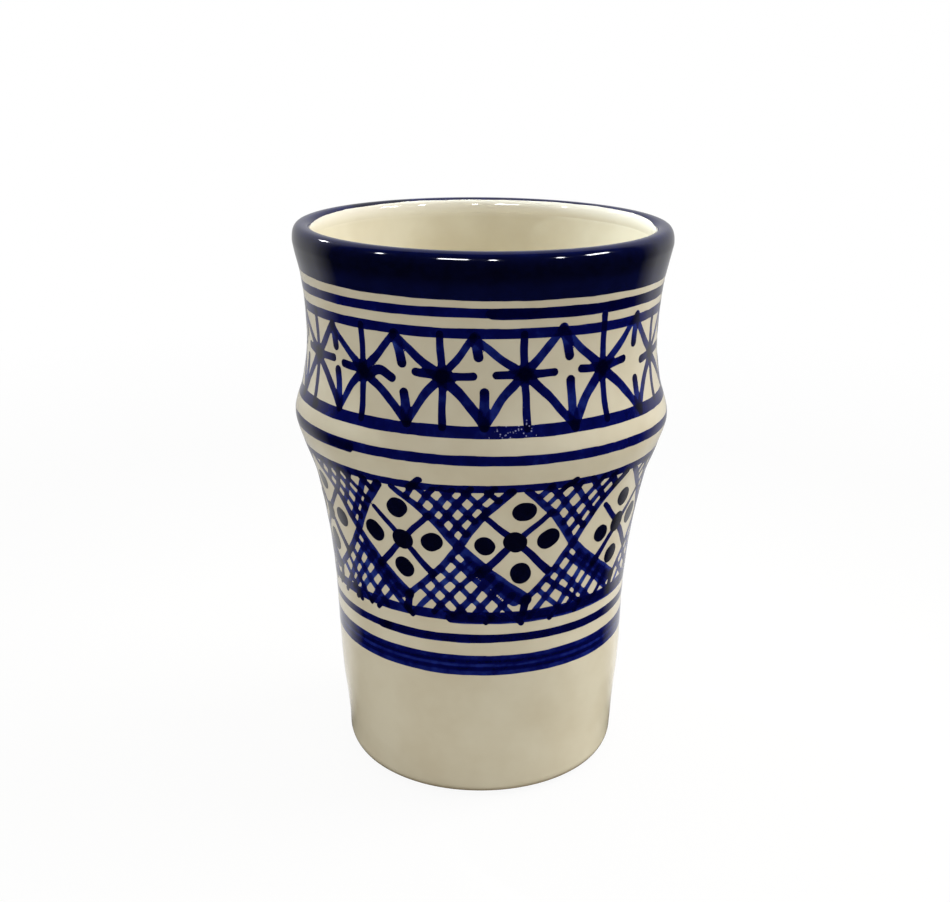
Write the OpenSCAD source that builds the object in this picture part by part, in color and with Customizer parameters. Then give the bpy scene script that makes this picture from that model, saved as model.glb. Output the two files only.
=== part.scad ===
// Handleless drinking mug: a thrown clay tumbler with a cream glaze and painted blue bands
// The axis of the cup is Z, the table is Z = 0, and the front of the painting faces -Y

/* [Cup] */
// Height from the table to the top of the painted lip
cup_h = 120; // [118:0.5:126]
// Outside diameter at the rim, just under the lip
rim_d = 79.8; // [76:0.2:84]
// Outside diameter at the foot
foot_d = 62; // [58:0.2:66]
// Thickness of the wall where it turns into the floor
wall_low_t = 5; // [4:0.1:6.5]
// Thickness of the wall at the rim, which is the width of the lip
lip_w = 4.2; // [3.4:0.1:5.5]
// Height of the rounded lip above the rim
lip_h = 3.4; // [2.4:0.1:4.4]
// Height of the inside floor above the table
floor_z = 7; // [5:0.1:10]
// Rounding between the inside wall and the floor
floor_round_r = 9; // [5:0.5:12]

/* [Foot] */
// Rounding of the outer edge of the foot, under the glaze
foot_round_r = 3.2; // [2.4:0.1:4]
// Width of the ring that stands on the table
foot_ring_w = 7; // [4:0.2:12]
// Depth of the hollow under the base
foot_hollow_h = 1.4; // [0.8:0.1:2.4]
// Height of the edge of the glaze above the table, where the foot was wiped bare
bare_foot_h = 0.8; // [0.5:0.1:1.4]

/* [Outline of the wall] */
// Outside diameter of the lower wall
lower_wall_d = 63.9; // [60:0.2:68]
// Height of the lower wall
lower_wall_z = 24; // [16:0.5:30]
// Outside diameter of the middle of the wall
middle_wall_d = 66.6; // [62:0.2:70]
// Height of the middle of the wall
middle_wall_z = 48; // [40:0.5:54]
// Outside diameter of the flank that leads out to the ridge
flank_d = 72.6; // [68:0.2:76]
// Height from the flank up to the shoulder
flank_rise = 7; // [5:0.1:9]
// Outside diameter of the shoulder under the ridge
shoulder_d = 77.4; // [74:0.2:79]
// Height from the shoulder up to the ridge
shoulder_rise = 6.3; // [5:0.1:8]
// Outside diameter at the crest of the ridge
ridge_d = 80.8; // [78:0.2:86]
// Height from the crest of the ridge up to the top of the lip
ridge_drop = 40.6; // [38:0.2:43]
// Outside diameter on the slope above the ridge
slope_d = 77.1; // [75:0.2:79]
// Height from the ridge up to that slope
slope_rise = 7; // [5:0.1:9]
// Outside diameter at the waist under the collar
waist_d = 74.9; // [72:0.2:77]
// Height from the slope up to the waist
waist_rise = 9.2; // [7:0.1:11]
// Outside diameter of the collar
collar_d = 76.1; // [74:0.2:79]
// Height from the collar up to the rim
collar_drop = 10.4; // [8:0.1:12]

/* [Glaze and paint] */
// Thickness of the cream glaze
glaze_t = 0.4; // [0.25:0.05:0.8]
// Thickness of the painted blue on the glaze
paint_t = 0.15; // [0.12:0.01:0.3]
// How far round the lip the rim band reaches, from the outside over the top
rim_band_turn = 150; // [110:1:170]

/* [Bands, upwards and downwards from the ridge] */
// Width of the stripe on the ridge
ridge_stripe_w = 2; // [1:0.1:3]
// Bare glaze between the ridge stripe and the bottom line of the star frieze
ridge_gap_above = 3.1; // [1.5:0.1:4]
// Width of the bottom line of the star frieze
star_bottom_w = 2.3; // [1:0.1:3]
// Height of the star frieze between its two lines
star_h = 16.5; // [13:0.1:18]
// Width of the top line of the star frieze
star_top_w = 2; // [1:0.1:3]
// Bare glaze between the star frieze and the collar stripe
star_gap_above = 1.7; // [0.8:0.1:2.5]
// Width of the collar stripe
collar_stripe_w = 2.2; // [1:0.1:3]
// Bare glaze between the collar stripe and the rim band
rim_gap_below = 1.3; // [0.6:0.1:2]
// Bare glaze between the ridge stripe and the top line of the lattice frieze
ridge_gap_below = 4.4; // [3:0.1:6]
// Width of the top line of the lattice frieze
lattice_top_w = 1.7; // [1:0.1:3]
// Height of the lattice frieze between its two lines
lattice_h = 27.6; // [23:0.1:30]
// Width of the bottom line of the lattice frieze
lattice_bottom_w = 3.1; // [1.5:0.1:4]
// Bare glaze between the lattice frieze and the lower stripe
lattice_gap_below = 2.1; // [1:0.1:4]
// Width of the lower stripe
lower_stripe_w = 2.2; // [1:0.1:3]
// Bare glaze between the lower stripe and the broad stripe
lower_gap_below = 2.8; // [1:0.1:4]
// Width of the broad stripe
broad_stripe_w = 4.6; // [3:0.1:6]

/* [Star frieze] */
// Number of stars round the cup
star_count = 14; // [12:1:16]
// Width of a brush stroke in the stars
star_stroke_w = 1.7; // [1.4:0.1:2.6]
// Length of each level arm of a star, from its centre
star_arm_l = 6.2; // [4.5:0.1:6.8]
// Length of the short strokes that hang and stand between two stars
star_tip_l = 5.8; // [4:0.1:6.4]
// How far each slanting arm bows out from the upright
star_bow = 1.2; // [0:0.1:2]
// Turn of the first star to the right of the front
star_turn = 13; // [0:1:30]

/* [Lattice frieze] */
// Number of diamonds round the cup
diamond_count = 9; // [8:1:10]
// Half the width of a diamond
diamond_half_w = 11.2; // [9:0.1:11.6]
// Width of a brush stroke round and across a diamond
diamond_stroke_w = 1.6; // [1:0.1:2]
// Number of hatching strokes each way in a field between two diamonds
hatch_count = 4; // [2:1:5]
// Width of a hatching stroke
hatch_stroke_w = 1.4; // [0.8:0.1:1.5]
// Diameter of the dots in the diamonds
dot_d = 4; // [3:0.1:4.4]
// Turn of the first diamond to the right of the front
diamond_turn = 12; // [0:1:45]

/* [Hidden] */

clay_colour = "#b9936f";
cream = "#d9d1bb";
cobalt = "#17195c";
deep_cobalt = "#0c0a38";

// Sides of everything that is turned round the axis
round_sides = 180;
// Straight steps that draw the curve of the wall, the turn of the lip and the turn of the floor
wall_steps = 72;
lip_steps = 16;
floor_steps = 8;
// How square the lip is: 1 is a half ellipse, and less is squarer
lip_squareness = 0.75;
// Sides and rows of a frieze's paint, which is drawn with flat facets
frieze_sides = 64;
frieze_rows = 5;
// Room under the rings and dots, and under a frieze's facets, so that they lie on the glaze and not in it
paint_seat = 0.02;
frieze_seat = 0.06;
// How far a stroke runs on past a line, where the frieze's edge cuts it off
stroke_overrun = 0.7;
// Room round a dot where a stroke stops beside it
dot_room = 0.05;
// How far a stroke's tool reaches to each side of the paint
stroke_reach = 1.6;
// Corners of a stroke's rounded end and of a dot's edge
stroke_end_sides = 8;
dot_sides = 24;
// Heights closer than this count as one
same_z = 0.01;

rim_z = cup_h - lip_h - paint_t;
ridge_z = cup_h - ridge_drop;
// Middle of the foot's rounding, and how far up it from the table the glaze starts
stand_r = foot_d / 2 - glaze_t - foot_round_r;
glaze_stop_turn = acos((foot_round_r - bare_foot_h) / (foot_round_r + glaze_t));

// The bands' heights, stacked on the ridge
ridge_stripe_z = ridge_z - ridge_stripe_w / 2;
star_bottom_z = ridge_stripe_z + ridge_stripe_w + ridge_gap_above;
star_z = star_bottom_z + star_bottom_w;
star_top_z = star_z + star_h;
collar_stripe_z = star_top_z + star_top_w + star_gap_above;
rim_band_z = collar_stripe_z + collar_stripe_w + rim_gap_below;
lattice_top_z = ridge_stripe_z - ridge_gap_below - lattice_top_w;
lattice_z = lattice_top_z - lattice_h;
lattice_bottom_z = lattice_z - lattice_bottom_w;
lower_stripe_z = lattice_bottom_z - lattice_gap_below - lower_stripe_w;
broad_stripe_z = lower_stripe_z - lower_gap_below - broad_stripe_w;

// Places that the outside passes through: height, radius, and whether it runs upright there
shoulder_z = ridge_z - shoulder_rise;
slope_z = ridge_z + slope_rise;
outline = [
    [foot_round_r, foot_d / 2, false],
    [lower_wall_z, lower_wall_d / 2, false],
    [middle_wall_z, middle_wall_d / 2, false],
    [shoulder_z - flank_rise, flank_d / 2, false],
    [shoulder_z, shoulder_d / 2, false],
    [ridge_z, ridge_d / 2, true],
    [slope_z, slope_d / 2, false],
    [slope_z + waist_rise, waist_d / 2, true],
    [rim_z - collar_drop, collar_d / 2, false],
    [rim_z, rim_d / 2, false]
];
last_place = len(outline) - 1;

// The outside's slope at a place: the chord past it, or none where it runs upright
function slope_at(i) =
    let (below = outline[max(i - 1, 0)], above = outline[min(i + 1, last_place)])
    outline[i][2] ? 0 : (above[1] - below[1]) / (above[0] - below[0]);

// The stretch of the outline that holds a height
function stretch_at(z, i = 0) =
    i >= last_place - 1 || z < outline[i + 1][0] ? i : stretch_at(z, i + 1);

// Radius of the outside at a height, on a smooth curve through the places
function smooth_r(z) =
    let (i = stretch_at(z), a = outline[i], b = outline[i + 1], h = b[0] - a[0], t = (z - a[0]) / h)
    (1 + 2 * t) * pow(1 - t, 2) * a[1] + t * pow(1 - t, 2) * h * slope_at(i)
    + t * t * (3 - 2 * t) * b[1] + t * t * (t - 1) * h * slope_at(i + 1);

// The outside as drawn, which the clay, the glaze and the paint all share
wall_zs = [for (i = [0 : wall_steps]) foot_round_r + (rim_z - foot_round_r) * i / wall_steps];
outer_table = [for (z = wall_zs) [z, smooth_r(z)]];
function outer_r(z) = lookup(z, outer_table);

// The inside follows the outside, at the wall's thickness
wall_table = [[floor_z, wall_low_t], [rim_z, lip_w]];
function inner_r(z) = outer_r(z) - lookup(z, wall_table);

// Heights from one to another with the wall's steps between them
function steps_between(low, high) =
    concat([low], [for (z = wall_zs) if (z > low + same_z && z < high - same_z) z], [high]);

// A list from its end to its start
function turned_round(list) = [for (i = [len(list) - 1 : -1 : 0]) list[i]];

// Lines along the cup's faces, each at a depth under the glazed face and as [radius, height]
function outside_line(low, high, depth) = [for (z = steps_between(low, high)) [outer_r(z) - depth, z]];

function lip_line(turn, depth) =
    let (middle_r = rim_d / 2 - lip_w / 2, half_w = lip_w / 2 - depth, high = lip_h - depth)
    [for (i = [1 : lip_steps]) let (a = turn * i / lip_steps, c = cos(a))
        [middle_r + half_w * sign(c) * pow(abs(c), lip_squareness),
            rim_z + high * pow(sin(a), lip_squareness)]];

function inside_line(depth) =
    let (turn_z = floor_z + floor_round_r, turn_r = inner_r(turn_z) - floor_round_r)
    concat(
        [for (z = turned_round(steps_between(turn_z, rim_z))) [inner_r(z) + depth, z]],
        [for (i = [1 : floor_steps]) let (a = 90 * i / floor_steps, r = floor_round_r + depth)
            [turn_r + r * cos(a), turn_z - r * sin(a)]],
        [[0, floor_z - depth]]);

// The foot's rounded edge, from a turn up from the table
function foot_edge(from, depth) =
    let (r = foot_round_r + glaze_t - depth)
    [for (i = [0 : floor_steps - 1]) let (a = from + (90 - from) * i / floor_steps)
        [stand_r + r * sin(a), foot_round_r - r * cos(a)]];

// The clay under the base, from the middle of the hollow to the foot's rounded edge
function base_line() =
    let (hollow_r = stand_r - foot_ring_w)
    [[0, foot_hollow_h], [hollow_r - foot_hollow_h, foot_hollow_h], [hollow_r, 0]];

// A coat between two lines, turned round the axis
module coat(top_line, under_line) {
    rotate_extrude($fn = round_sides) polygon(concat(top_line, turned_round(under_line)));
}

// A painted ring on the outside
module stripe(low, width) {
    coat(outside_line(low, low + width, -paint_t), outside_line(low, low + width, -paint_seat));
}

// How far the outside bulges past a straight row between two heights, or 0 where it is hollow
function bulge(low, high) =
    let (rise = (outer_r(high) - outer_r(low)) / (high - low))
    max([for (z = steps_between(low, high)) outer_r(z) - outer_r(low) - rise * (z - low)]);

// The thin layer that a frieze's strokes are cut from, clear of the outside over each of its rows
module frieze_layer(low, high) {
    zs = [for (i = [0 : frieze_rows]) low + (high - low) * i / frieze_rows];
    bulges = concat([0], [for (i = [1 : frieze_rows]) bulge(zs[i - 1], zs[i])], [0]);
    rs = [for (i = [0 : frieze_rows]) outer_r(zs[i]) + max(bulges[i], bulges[i + 1])];
    rotate_extrude($fn = frieze_sides)
        polygon(concat(
            [for (i = [0 : frieze_rows]) [rs[i] + paint_t, zs[i]]],
            [for (i = [frieze_rows : -1 : 0]) [rs[i] + frieze_seat, zs[i]]]));
}

// A round tool that passes straight through the paint, at a turn to the right of the front
module tool(turn, z, width, sides) {
    rotate([0, 0, turn - 90])
        translate([outer_r(z) - stroke_reach, 0, z])
            rotate([0, 90, 0])
                cylinder(d = width, h = 2 * stroke_reach, $fn = sides);
}

// A brush stroke between two places, each as [turn, height]
module stroke(from, to, width) {
    hull() {
        tool(from[0], from[1], width, stroke_end_sides);
        tool(to[0], to[1], width, stroke_end_sides);
    }
}

// The turn that a length along the surface makes at a height
function turn_of(length, z) = length / outer_r(z) * 180 / PI;

module star(turn) {
    half_step = 180 / star_count;
    middle_z = star_z + star_h / 2;
    low_z = star_z - stroke_overrun;
    high_z = star_z + star_h + stroke_overrun;
    arm_turn = turn_of(star_arm_l, middle_z);
    bow_turn = turn_of(star_bow, middle_z);
    stroke([turn, low_z], [turn, high_z], star_stroke_w);
    for (side = [-1, 1]) {
        stroke([turn, middle_z], [turn + side * arm_turn, middle_z], star_stroke_w);
        for (end_z = [low_z, high_z]) {
            bend = [turn + side * (half_step / 2 + bow_turn), (middle_z + end_z) / 2];
            stroke([turn, middle_z], bend, star_stroke_w);
            stroke(bend, [turn + side * half_step, end_z], star_stroke_w);
        }
    }
    for (ends = [[high_z, star_z + star_h - star_tip_l], [low_z, star_z + star_tip_l]])
        stroke([turn + half_step, ends[0]], [turn + half_step, ends[1]], star_stroke_w);
}

// Half a diamond's width and half the step between two diamonds, as turns
function diamond_turn_half() = turn_of(diamond_half_w, lattice_z + lattice_h / 2);
function diamond_step_half() = 180 / diamond_count;

module diamond(turn) {
    half = diamond_turn_half();
    middle_z = lattice_z + lattice_h / 2;
    for (side = [-1, 1]) {
        for (end_z = [lattice_z, lattice_z + lattice_h])
            stroke([turn, end_z], [turn + side * half, middle_z], diamond_stroke_w);
        stroke([turn - side * half / 2, middle_z - lattice_h / 4], [turn, middle_z], diamond_stroke_w);
        stroke([turn, middle_z], [turn + side * half / 2, middle_z + lattice_h / 4], diamond_stroke_w);
    }
}

// Crossed strokes in the two fields, over and under the gap between two diamonds
module hatching(turn) {
    half = diamond_step_half();
    middle_z = lattice_z + lattice_h / 2;
    for (up = [-1, 1], side = [-1, 1], i = [1 : hatch_count]) {
        share = i / (hatch_count + 1);
        edge = [turn + side * half * (1 - 2 * share), middle_z + up * lattice_h / 2];
        far_side = [turn - side * half * share, middle_z + up * share * lattice_h / 2];
        stroke(edge, far_side, hatch_stroke_w);
    }
}

module dots(turn, room, sides) {
    half = diamond_turn_half();
    middle_z = lattice_z + lattice_h / 2;
    for (place = [[0, 0], [-half / 2, 0], [half / 2, 0], [0, -lattice_h / 4], [0, lattice_h / 4]])
        tool(turn + place[0], middle_z + place[1], dot_d + 2 * room, sides);
}

// The thrown and fired clay
module clay_body() {
    color(clay_colour)
        rotate_extrude($fn = round_sides)
            polygon(concat(base_line(), foot_edge(0, glaze_t), outside_line(foot_round_r, rim_z, glaze_t),
                lip_line(180, glaze_t), inside_line(glaze_t)));
}

// The cream coat on the outside and over the lip
module outer_glaze() {
    color(cream)
        coat(concat(foot_edge(glaze_stop_turn, 0), outside_line(foot_round_r, rim_z, 0), lip_line(180, 0)),
            concat(foot_edge(glaze_stop_turn, glaze_t), outside_line(foot_round_r, rim_z, glaze_t),
                lip_line(180, glaze_t)));
}

// The cream coat inside
module inner_glaze() {
    color(cream) coat(inside_line(0), inside_line(glaze_t));
}

// The dark band round the rim, which runs over the lip
module rim_band() {
    color(deep_cobalt)
        coat(concat(outside_line(rim_band_z, rim_z, -paint_t), lip_line(rim_band_turn, -paint_t)),
            concat(outside_line(rim_band_z, rim_z, -paint_seat), lip_line(rim_band_turn, -paint_seat)));
}

module collar_stripe() {
    color(cobalt) stripe(collar_stripe_z, collar_stripe_w);
}

module star_top_line() {
    color(cobalt) stripe(star_top_z, star_top_w);
}

module star_strokes() {
    color(cobalt)
        intersection() {
            frieze_layer(star_z, star_top_z);
            union() {
                for (i = [0 : star_count - 1]) star(star_turn + 360 * i / star_count);
            }
        }
}

module star_bottom_line() {
    color(cobalt) stripe(star_bottom_z, star_bottom_w);
}

module ridge_stripe() {
    color(cobalt) stripe(ridge_stripe_z, ridge_stripe_w);
}

module lattice_top_line() {
    color(cobalt) stripe(lattice_top_z, lattice_top_w);
}

module lattice_strokes() {
    step = 360 / diamond_count;
    color(cobalt)
        difference() {
            intersection() {
                frieze_layer(lattice_z, lattice_top_z);
                union() {
                    for (i = [0 : diamond_count - 1]) {
                        diamond(diamond_turn + step * i);
                        hatching(diamond_turn + step * (i + 0.5));
                    }
                }
            }
            for (i = [0 : diamond_count - 1]) dots(diamond_turn + step * i, dot_room, dot_sides);
        }
}

module lattice_dots() {
    color(deep_cobalt)
        intersection() {
            coat(outside_line(lattice_z, lattice_top_z, -paint_t),
                outside_line(lattice_z, lattice_top_z, -paint_seat));
            union() {
                for (i = [0 : diamond_count - 1])
                    dots(diamond_turn + 360 * i / diamond_count, 0, dot_sides);
            }
        }
}

module lattice_bottom_line() {
    color(cobalt) stripe(lattice_bottom_z, lattice_bottom_w);
}

module lower_stripe() {
    color(cobalt) stripe(lower_stripe_z, lower_stripe_w);
}

module broad_stripe() {
    color(cobalt) stripe(broad_stripe_z, broad_stripe_w);
}

clay_body();
outer_glaze();
inner_glaze();
rim_band();
collar_stripe();
star_top_line();
star_strokes();
star_bottom_line();
ridge_stripe();
lattice_top_line();
lattice_strokes();
lattice_dots();
lattice_bottom_line();
lower_stripe();
broad_stripe();
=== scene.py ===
# Handleless drinking mug: its glaze, hand painting and bare clay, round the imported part
import math

import bpy
import numpy as np
from mathutils import Matrix, Vector

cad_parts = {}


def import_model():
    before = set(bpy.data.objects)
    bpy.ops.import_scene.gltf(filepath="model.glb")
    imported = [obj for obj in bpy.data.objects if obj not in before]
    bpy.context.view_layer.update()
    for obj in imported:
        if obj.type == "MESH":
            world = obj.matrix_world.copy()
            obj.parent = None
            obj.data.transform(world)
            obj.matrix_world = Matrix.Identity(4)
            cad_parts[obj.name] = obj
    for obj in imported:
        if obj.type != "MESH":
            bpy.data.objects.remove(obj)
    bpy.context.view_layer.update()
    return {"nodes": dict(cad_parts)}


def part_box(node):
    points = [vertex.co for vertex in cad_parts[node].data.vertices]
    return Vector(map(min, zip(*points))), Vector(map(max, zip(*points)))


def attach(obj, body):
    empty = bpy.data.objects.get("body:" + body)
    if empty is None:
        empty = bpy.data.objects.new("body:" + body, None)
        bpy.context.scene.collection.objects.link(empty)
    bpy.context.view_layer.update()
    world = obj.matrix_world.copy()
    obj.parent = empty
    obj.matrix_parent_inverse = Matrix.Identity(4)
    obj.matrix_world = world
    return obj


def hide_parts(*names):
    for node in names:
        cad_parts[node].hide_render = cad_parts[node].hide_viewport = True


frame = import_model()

MM = 0.001
# The painter's and the thrower's unsteady hand, the same at each run
hand = np.random.default_rng(11)

# The photo's frame in pixels, and its camera in pixels, millimetres and degrees
PHOTO_W = 950
FOCAL_PX = 1234.8
SENSOR_MM = 36
CAMERA_Y, CAMERA_Z = -261.4, 153.1
CAMERA_DOWN, CAMERA_YAW, CAMERA_ROLL = 17.97, 0.283, 0.47

# The cup in millimetres and degrees, as in the part's source
LIP_W, LIP_H, LIP_SQUARENESS = 4.2, 3.4, 0.75
GLAZE_T = 0.4
FOOT_ROUND_R, BARE_FOOT_H = 3.2, 0.8
WALL_LOW_T = 5
FLOOR_Z, FLOOR_ROUND_R = 7, 9
RIM_BAND_TURN = 150
RIM_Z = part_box("outer_glaze")[1].z / MM - LIP_H

# Fineness of the turned glaze and of the paint, in sides, rows and millimetres
GLAZE_SIDES = 288
WALL_ROW, HIDDEN_ROW = 0.7, 3.0
LIP_ROWS, FLOOR_ROWS, FOOT_ROWS = 44, 14, 16
STROKE_STEP, RING_STEP = 0.5, 2.0
RING_PITCH, RIM_PITCH, STAR_PITCH, LATTICE_PITCH = 0.4, 0.36, 0.31, 0.36
# Points closer than this become one, and slivers thinner than this go
MERGE, SLIVER = 0.001, 0.0001
# The angle in degrees from which an edge stays sharp
CLAY_SHARP, GLAZE_SHARP, PAINT_SHARP = 40, 50, 40

# The thrower's hand, in millimetres and radians: the wall is drawn in on the left over the foot and fuller on
# the right above it, a little oval and three-sided, with the ridges of the fingers
DRAWN_IN, DRAWN_IN_Z, DRAWN_IN_REACH, DRAWN_IN_TURN = 0.9, 5, 16, 0.15
FULLER, FULLER_Z, FULLER_REACH = 0.45, 22, 9
OVAL, OVAL_TURN, THREE_SIDED, THREE_SIDED_TWIST = 0.025, 0.6, 0.012, 11
FINGER_RIDGE, FINGER_PITCH = 0.015, 6.5
# The rim's dip: all round, more of it in front, and how far down from the rim it starts
RIM_DIP, RIM_DIP_FRONT, RIM_DIP_REACH = 0.7, 0.6, 8

# The paint film: its thickness, most of it sunk in the glaze, and how far its face stands proud
FILM_T = 0.05
RING_LIFT, STROKE_LIFT, DOT_LIFT = 0.014, 0.024, 0.034
# Cuts of the film closer than this to a spot of its grid are moved onto it
SNAP = 0.02
# How softly a stroke's edge shows under another stroke, and how much thinner the ink is at the edge
SOFT_EDGE, THIN_EDGE, EDGE_INK = 0.4, 0.45, 0.86
# The painter's hand: the wavelengths of a stroke's bend, width and ink, how much width and ink vary, how far
# ink pools from a stroke's ends, and the most ink that one stroke leaves
BEND_WAVE, WIDTH_WAVE, INK_WAVE = 16, 12, 9
WIDTH_SWAY, MOST_WIDTH_SWAY, INK_SWAY = 0.025, 0.06, 0.05
POOL_REACH, MOST_INK = 1.4, 0.97
# A ring's hand, in degrees: its usual length, a little over a full turn, the step from one point to the next,
# and the wavelength of its rise and fall
RING_TURN, RING_POINT, RING_WAVE = 372, 6.0, 150


def rounded(share):
    share = np.clip(share, 0, 1)
    return share * share * (3 - 2 * share)


def distances(points):
    """How far along a line each of its points lies"""
    return np.concatenate([[0], np.cumsum(np.hypot(*np.diff(points, axis=0).T))])


def hermite(knots, values, slopes, at):
    """A smooth curve through values at knots, with these slopes there"""
    i = np.clip(np.searchsorted(knots, at, side="right") - 1, 0, len(knots) - 2)
    gap = knots[i + 1] - knots[i]
    t = np.clip((at - knots[i]) / gap, 0, 1)
    if values.ndim > 1:
        t, gap = t[:, None], gap[:, None]
    return ((1 + 2 * t) * (1 - t) ** 2 * values[i] + t * (1 - t) ** 2 * gap * slopes[i]
            + t * t * (3 - 2 * t) * values[i + 1] + t * t * (t - 1) * gap * slopes[i + 1])


def wall_knots():
    """The outside's heights and radii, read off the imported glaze"""
    co = np.array([v.co for v in frame["nodes"]["outer_glaze"].data.vertices]) / MM
    slack = 0.05
    co = co[(co[:, 2] > FOOT_ROUND_R - slack) & (co[:, 2] < RIM_Z + slack)]
    radius, level = np.hypot(co[:, 0], co[:, 1]), np.round(co[:, 2], 1)
    levels = np.unique(level)
    return (np.array([co[level == z, 2].mean() for z in levels]),
            np.array([radius[level == z].max() for z in levels]))


knot_z, knot_r = wall_knots()
knot_slope = np.gradient(knot_r, knot_z)


def wall_r(z):
    return hermite(knot_z, knot_r, knot_slope, np.asarray(z, float))


def inner_r(z):
    """The inside follows the outside at the wall's thickness"""
    return wall_r(z) - np.interp(z, [FLOOR_Z, RIM_Z], [WALL_LOW_T, LIP_W])


def lip_line(turn, depth, rows):
    """The lip's round, as radii and heights, at a depth under its face"""
    a = np.radians(np.linspace(0, turn, rows + 1)[1:])
    middle = wall_r(RIM_Z) - LIP_W / 2
    c = np.cos(a)
    r = middle + (LIP_W / 2 - depth) * np.sign(c) * np.abs(c) ** LIP_SQUARENESS
    return np.stack([r, RIM_Z + (LIP_H - depth) * np.clip(np.sin(a), 0, 1) ** LIP_SQUARENESS], 1)


def foot_line(depth, turns):
    """The glaze's turn under the foot, at a depth under its face"""
    r = FOOT_ROUND_R + GLAZE_T - depth
    middle = wall_r(FOOT_ROUND_R) - GLAZE_T - FOOT_ROUND_R
    return np.stack([middle + r * np.sin(turns), FOOT_ROUND_R - r * np.cos(turns)], 1)


def throwing(turn, z):
    """How far the thrown wall strays from a true circle, in millimetres"""
    a = np.radians(turn)
    drawn_in = -DRAWN_IN * np.clip(-np.sin(a + DRAWN_IN_TURN), 0, 1) ** 2 * (
        1 - rounded((z - DRAWN_IN_Z) / DRAWN_IN_REACH))
    fuller = FULLER * np.clip(np.sin(a), 0, 1) ** 2 * np.exp(-((z - FULLER_Z) / FULLER_REACH) ** 2)
    return (drawn_in + fuller + OVAL * np.sin(2 * a + OVAL_TURN)
            + THREE_SIDED * np.sin(3 * a + z / THREE_SIDED_TWIST)
            + FINGER_RIDGE * np.sin(2 * np.pi * z / FINGER_PITCH + a))


def rim_drop(turn, z):
    """How far the uneven rim dips, most of all in front, in millimetres"""
    near_rim = rounded((z - RIM_Z + RIM_DIP_REACH) / RIM_DIP_REACH)
    return near_rim * (RIM_DIP + RIM_DIP_FRONT * np.cos(np.radians(turn)))


def throw(piece):
    """Gives a turned piece the thrown wall's unevenness"""
    co = np.array([v.co for v in piece.data.vertices]) / MM
    turn = np.degrees(np.arctan2(co[:, 0], -co[:, 1]))
    scale = 1 + throwing(turn, co[:, 2]) / wall_r(co[:, 2])
    co[:, :2] *= scale[:, None]
    co[:, 2] -= rim_drop(turn, co[:, 2])
    piece.data.vertices.foreach_set("co", (co * MM).ravel())
    piece.data.update()


def wall_at(z):
    """Radius, height and outward normal of the outside at a height"""
    step = 0.05
    slope = (wall_r(z + step) - wall_r(z - step)) / (2 * step)
    out = 1 / np.hypot(1, slope)
    return wall_r(z), z, out, -slope * out


# Tools that finish a piece
def attribute(piece, name, values):
    data = piece.data.attributes.new(name, "FLOAT", "POINT").data
    data.foreach_set("value", np.asarray(values, np.float32))


def unwrap(piece, strips):
    """A map for the bake: the cup's girth in strips, one above the other, each with its height across"""
    mesh = piece.data
    co = np.array([v.co for v in mesh.vertices])
    along = np.zeros(len(co), np.float32)
    mesh.attributes["along"].data.foreach_get("value", along)
    share = np.arctan2(co[:, 0], -co[:, 1]) / (2 * np.pi) + 0.5
    corner = np.zeros(len(mesh.loops), np.int32)
    mesh.loops.foreach_get("vertex_index", corner)
    face = np.repeat(np.arange(len(mesh.polygons)), [p.loop_total for p in mesh.polygons])
    u, v = share[corner], along[corner]
    starts = np.array([p.loop_start for p in mesh.polygons])
    wraps = np.maximum.reduceat(u, starts) - np.minimum.reduceat(u, starts) > 0.5
    u = np.where(wraps[face] & (u < 0.5), u + 1, u)
    middle = np.add.reduceat(u, starts) / np.bincount(face)
    # A face past the seam stays in the last strip
    last = 0.9999
    strip = np.floor(np.clip(middle, 0, last) * strips)[face]
    margin = 0.02
    u = margin + (1 - 2 * margin) * (u * strips - strip)
    v = (strip + margin + (1 - 2 * margin) * v) / strips
    uv = mesh.uv_layers.new(name="OFBake")
    uv.data.foreach_set("uv", np.stack([u, v], 1).astype(np.float32).ravel())


def pick(piece):
    """Makes a piece the only one selected"""
    bpy.ops.object.select_all(action="DESELECT")
    piece.select_set(True)
    bpy.context.view_layer.objects.active = piece


def finish(piece, node, slot, sharp, strips=0):
    """Smooths a piece, gives it its slot's finish and its map, and puts it in its CAD node's place"""
    pick(piece)
    bpy.ops.object.shade_smooth_by_angle(angle=math.radians(sharp))
    piece.data.materials.clear()
    piece.data.materials.append(finishes[slot])
    if strips:
        unwrap(piece, strips)
    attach(piece, "root")
    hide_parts(node)


# Nodes and colours
def colour(code):
    """A colour from its sRGB hex value"""
    parts = [int(code[i:i + 2], 16) / 255 for i in (1, 3, 5)]
    return [p / 12.92 if p <= 0.04045 else ((p + 0.055) / 1.055) ** 2.4 for p in parts] + [1]


def add(tree, kind, sockets, **settings):
    """Adds a shader node with its settings; a socket takes a value, or a link as (node, output)"""
    new = tree.nodes.new("ShaderNode" + kind)
    for key, value in settings.items():
        setattr(new, key, value)
    for key, value in sockets.items():
        if isinstance(value, tuple):
            tree.links.new(value[0].outputs[value[1]], new.inputs[key])
        else:
            new.inputs[key].default_value = value
    return new


def new_material(name):
    material = bpy.data.materials.new(name)
    material.use_nodes = True
    material.node_tree.nodes.clear()
    return material, material.node_tree


def per(mm):
    """A texture's scale for features of this size"""
    return 1 / (mm * MM)


def stops(ramp, *places):
    """Sets a colour ramp's stops, each as (place, hex value)"""
    elements = ramp.color_ramp.elements
    while len(elements) < len(places):
        elements.new(1)
    for element, (place, code) in zip(elements, places):
        element.position, element.color = place, colour(code)


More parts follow.
